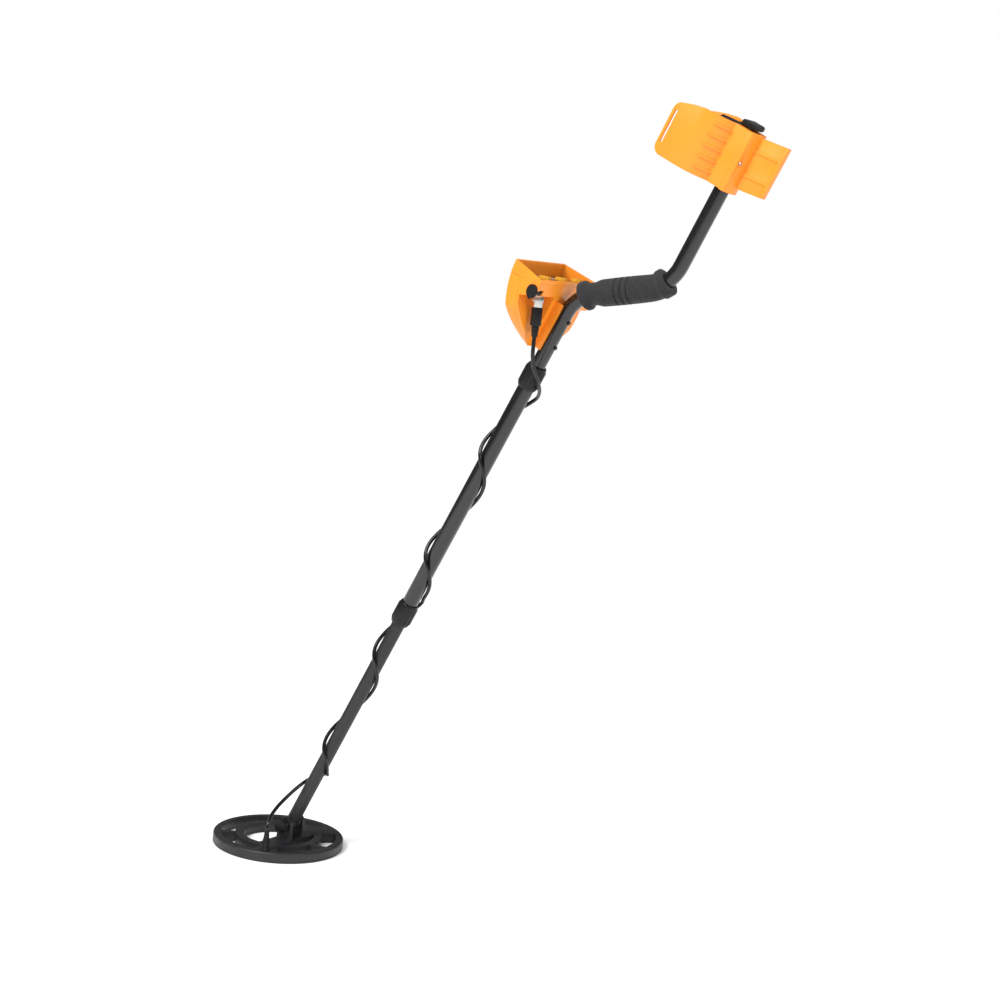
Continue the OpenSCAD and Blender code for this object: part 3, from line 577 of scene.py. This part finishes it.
for label, side in (("volume", 1), ("sensitivity", 0), ("discrimination", -1)):
    add_ticks(
        f"{label}_marks", (KNOB_BACK, KNOB_SPACING * side, 0), 0.0112,
        (0.0016, 0.0006, TICK_RAISE), range(60, 301, 30),
    )
add_ticks("meter_scale", METER_CENTRE, 0.0155, (0.0024, 0.0005, TICK_RAISE), range(-40, 41, 10))


# ---- Foam grip ----

FOAM_R = 0.0191
FOAM_SIDES = 48
FOAM_EDGE = 0.0016
GROOVE_DEPTH = 0.0022
GROOVE_HALF = 0.0016
GROOVES = (-0.010, 0.0, 0.010)


def bend_tangent(turn):
    """Distance from the corner of a bend to where it starts, for that turn."""
    return BEND_RADIUS * sin(turn / 2) / cos(turn / 2)


def arc_points(start, direction, bend_to, angle, count):
    """Points of an arc that leaves start along direction and turns towards bend_to."""
    centre = start + bend_to * BEND_RADIUS
    return [
        centre - bend_to * BEND_RADIUS * cos(a) + direction * BEND_RADIUS * sin(a)
        for a in (angle * i / count for i in range(count + 1))
    ]


def add_foam_grip():
    """Foam sleeve with raised ends, a narrow neck behind the front end and three grooves."""
    grip, square = along(GRIP_ANGLE), square_to(GRIP_ANGLE)
    front = FRONT_CORNER + grip * bend_tangent(SHAFT_ANGLE - GRIP_ANGLE)
    rear = REAR_CORNER - grip * bend_tangent(REAR_ANGLE - GRIP_ANGLE)
    bend_in = arc_points(front, -grip, -square, radians(16), 16)
    bend_out = arc_points(rear, grip, square, radians(28), 26)
    straight = [front.lerp(rear, i / 150) for i in range(1, 150)]
    centre = [*reversed(bend_in), *straight, *bend_out]
    total = length_of(centre)
    places = [0.0]
    for a, b in zip(centre, centre[1:]):
        places.append(places[-1] + (b - a).length)
    bm = sweep(centre, [foam_radius(place, total) for place in places], FOAM_SIDES, False)
    close_foam_ends(bm, centre[0], centre[-1])
    mesh = finish_mesh("foam_sleeve", bm, radians(50))
    obj = add_piece("foam_sleeve", mesh, "foam", "frame", "foam_grip")


def foam_radius(place, total):
    """Radius of the foam's outside at a place along it."""
    front_lip = 0.0024 * (1 - smooth_step((place - 0.007) / 0.004))
    past_neck = smooth_step((place - 0.020) / 0.014)
    neck = -0.0026 * smooth_step((place - 0.009) / 0.005) * (1 - past_neck)
    belly = 0.0008 * sin(pi * min(1, max(0, (place - 0.02) / (total - 0.04))))
    rear_lip = 0.0022 * smooth_step((place - total + 0.014) / 0.004)
    groove = sum(
        GROOVE_DEPTH * max(0.0, 1 - ((place - total * 0.5 - offset) / GROOVE_HALF) ** 2) ** 0.5
        for offset in GROOVES
    )
    rounding = FOAM_EDGE * max(0.0, 1 - min(place, total - place) / FOAM_EDGE) ** 2
    return FOAM_R + front_lip + neck + belly + rear_lip - groove - rounding


def close_foam_ends(bm, front, rear):
    """Ring faces at both ends, from the outside down to the tube."""
    bm.verts.ensure_lookup_table()
    bore = UPPER_TUBE_R + 0.0001
    for first, centre in ((0, front), (len(bm.verts) - FOAM_SIDES, rear)):
        outer = [bm.verts[first + k] for k in range(FOAM_SIDES)]
        inner = [bm.verts.new(centre + (v.co - centre).normalized() * bore) for v in outer]
        bm.verts.ensure_lookup_table()
        for k in range(FOAM_SIDES):
            after = (k + 1) % FOAM_SIDES
            bm.faces.new((outer[k], outer[after], inner[after], inner[k]))


add_foam_grip()


# ---- Arm strap ----

STRAP_WIDTH = 0.038
STRAP_THICK = 0.0018
STRAP_START = 0.176
STRAP_R = 0.0451
STRAP_OUTSIDE = -0.0531
CUFF_MIDDLE = 0.062


def strap_line():
    """Centre line of the webbing in the cuff's cross-section, from its outer end to its tail."""
    r, out = STRAP_R, STRAP_OUTSIDE
    line = [
        (0.074, out), (0.084, out), (0.0905, out + 0.0006), (0.092, -0.050), (0.0915, -0.0465),
        (0.089, -r), (0.080, -r), (0.070, -r),
    ]
    around = [radians(270 - 6 * i) for i in range(18)]
    line += [(CUFF_MIDDLE + r * cos(a), r * sin(a)) for a in around]
    return smooth_line([Vector(p) for p in line], 4)


def strap_front(point):
    """Place of the webbing's front edge along the cuff, which slants back inside the cuff."""
    if point.y < -0.0485 or point.x > 0.090:
        return STRAP_START
    if point.x > 0.075:
        return STRAP_START + 0.020 * (0.090 - point.x) / 0.015
    return STRAP_START + 0.020 + 0.006 * (0.075 - point.x) / 0.059


def add_strap():
    """Webbing band, as a thin closed strip with thinner, rounded edges."""
    line = strap_line()
    selvedge, hem = 0.0004, 0.0022
    profile = [
        (selvedge, 0.2), (hem, 1), (STRAP_WIDTH - hem, 1), (STRAP_WIDTH - selvedge, 0.2)
    ]
    profile += [(place, -height) for place, height in reversed(profile)]
    corners = len(profile)
    bm = bmesh.new()
    rings = []
    for i, point in enumerate(line):
        ahead = line[min(i + 1, len(line) - 1)] - line[max(i - 1, 0)]
        square = Vector((-ahead.y, ahead.x)).normalized() * STRAP_THICK / 2
        spots = [
            (*(point + square * height), strap_front(point) + place) for place, height in profile
        ]
        rings.append([bm.verts.new(REAR @ Vector(spot)) for spot in spots])
    for a, b in zip(rings, rings[1:]):
        for k in range(corners):
            after = (k + 1) % corners
            bm.faces.new((a[k], a[after], b[after], b[k]))
    bm.faces.new(rings[0])
    bm.faces.new(list(reversed(rings[-1])))
    mesh = finish_mesh("arm_webbing", bm, radians(60))
    obj = add_piece("arm_webbing", mesh, "webbing", "frame", "arm_strap")


def add_block(bm, size, centre):
    """Adds a block to a bmesh and gives its vertices."""
    block = bmesh.ops.create_cube(bm, size=1)["verts"]
    bmesh.ops.scale(bm, verts=block, vec=size)
    bmesh.ops.translate(bm, verts=block, vec=centre)
    return block


def add_strap_tail():
    """Folded end of the webbing over the cuff's rear edge, with a lip up to the band."""
    bm = bmesh.new()
    pad = add_block(bm, (0.022, 0.034, 0.0084), (0.006, -0.006, 0.2456))
    add_block(bm, (0.003, 0.030, 0.007), (0.0172, -0.006, 0.2405))
    bmesh.ops.bevel(
        bm, geom=list({e for v in pad for e in v.link_edges}), offset=0.0037, segments=6,
        profile=0.55, affect="EDGES", clamp_overlap=True,
    )
    bmesh.ops.transform(bm, matrix=REAR, verts=bm.verts)
    add_piece("strap_tail", finish_mesh("strap_tail", bm), "webbing", "frame", "arm_strap")


add_strap()
add_strap_tail()


# ---- Floor and light ----

FLOOR_GAP = 0.0006
FLOOR_HALF = 12
LIT_POINT = (0.1, 0, -0.3)


def add_floor():
    """White floor under the coil."""
    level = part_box("coil_base")[0][2] - FLOOR_GAP
    bm = bmesh.new()
    bmesh.ops.create_grid(bm, x_segments=40, y_segments=40, size=FLOOR_HALF)
    bmesh.ops.translate(bm, verts=bm.verts, vec=(0, 0, level))
    mesh = bpy.data.meshes.new("floor")
    bm.to_mesh(mesh)
    bm.free()
    floor = bpy.data.objects.new("floor", mesh)
    bpy.context.collection.objects.link(floor)
    shader = Shader("floor", specular=0.0)
    shader.colour(shader.noise(2), (0.93, 0.93, 0.93), (0.95, 0.95, 0.95))
    shader.roughness(shader.noise(5), 0.9, 1.0)
    mesh.materials.append(shader.material)


def add_area_light(name, place, size, power):
    """Square light that points at the middle of the detector."""
    data = bpy.data.lights.new(name, "AREA")
    data.size = size
    data.energy = power
    light = bpy.data.objects.new(name, data)
    light.location = place
    aim = Vector(LIT_POINT) - Vector(place)
    light.rotation_euler = aim.to_track_quat("-Z", "Y").to_euler()
    bpy.context.collection.objects.link(light)


def add_sun(direction, power, angle):
    """Broad sun that shines from a direction."""
    data = bpy.data.lights.new("sun", "SUN")
    data.energy = power
    data.angle = angle
    light = bpy.data.objects.new("sun", data)
    light.rotation_euler = Vector(direction).to_track_quat("Z", "Y").to_euler()
    bpy.context.collection.objects.link(light)


def add_surround(seen, diffuse, glossy):
    """White surround with its own strength for the backdrop, for soft light and for reflections."""
    world = bpy.data.worlds.new("surround")
    world.use_nodes = True
    nodes, links = world.node_tree.nodes, world.node_tree.links
    path = nodes.new("ShaderNodeLightPath")
    strength = None
    for ray, factor in (("Is Camera Ray", seen - diffuse), ("Is Glossy Ray", glossy - diffuse)):
        term = nodes.new("ShaderNodeMath")
        term.operation = "MULTIPLY_ADD"
        links.new(path.outputs[ray], term.inputs[0])
        term.inputs[1].default_value = factor
        term.inputs[2].default_value = diffuse
        if strength:
            links.new(strength, term.inputs[2])
        strength = term.outputs[0]
    background = nodes["Background"]
    background.inputs["Color"].default_value = (1, 1, 1, 1)
    links.new(strength, background.inputs["Strength"])
    bpy.context.scene.world = world


def add_light():
    """Broad sun and a key light from the left, a light from behind, and a white surround."""
    add_surround(1.0, 0.62, 0.15)
    add_sun((0.0, 1.0, 1.2), 2.0, radians(28))
    add_area_light("key", (0.7, 2.4, 1.6), 0.6, 34)
    add_area_light("rim", (-2.2, 0.6, 1.4), 0.9, 22)
    bpy.context.scene.view_settings.view_transform = "Standard"


add_floor()
add_light()
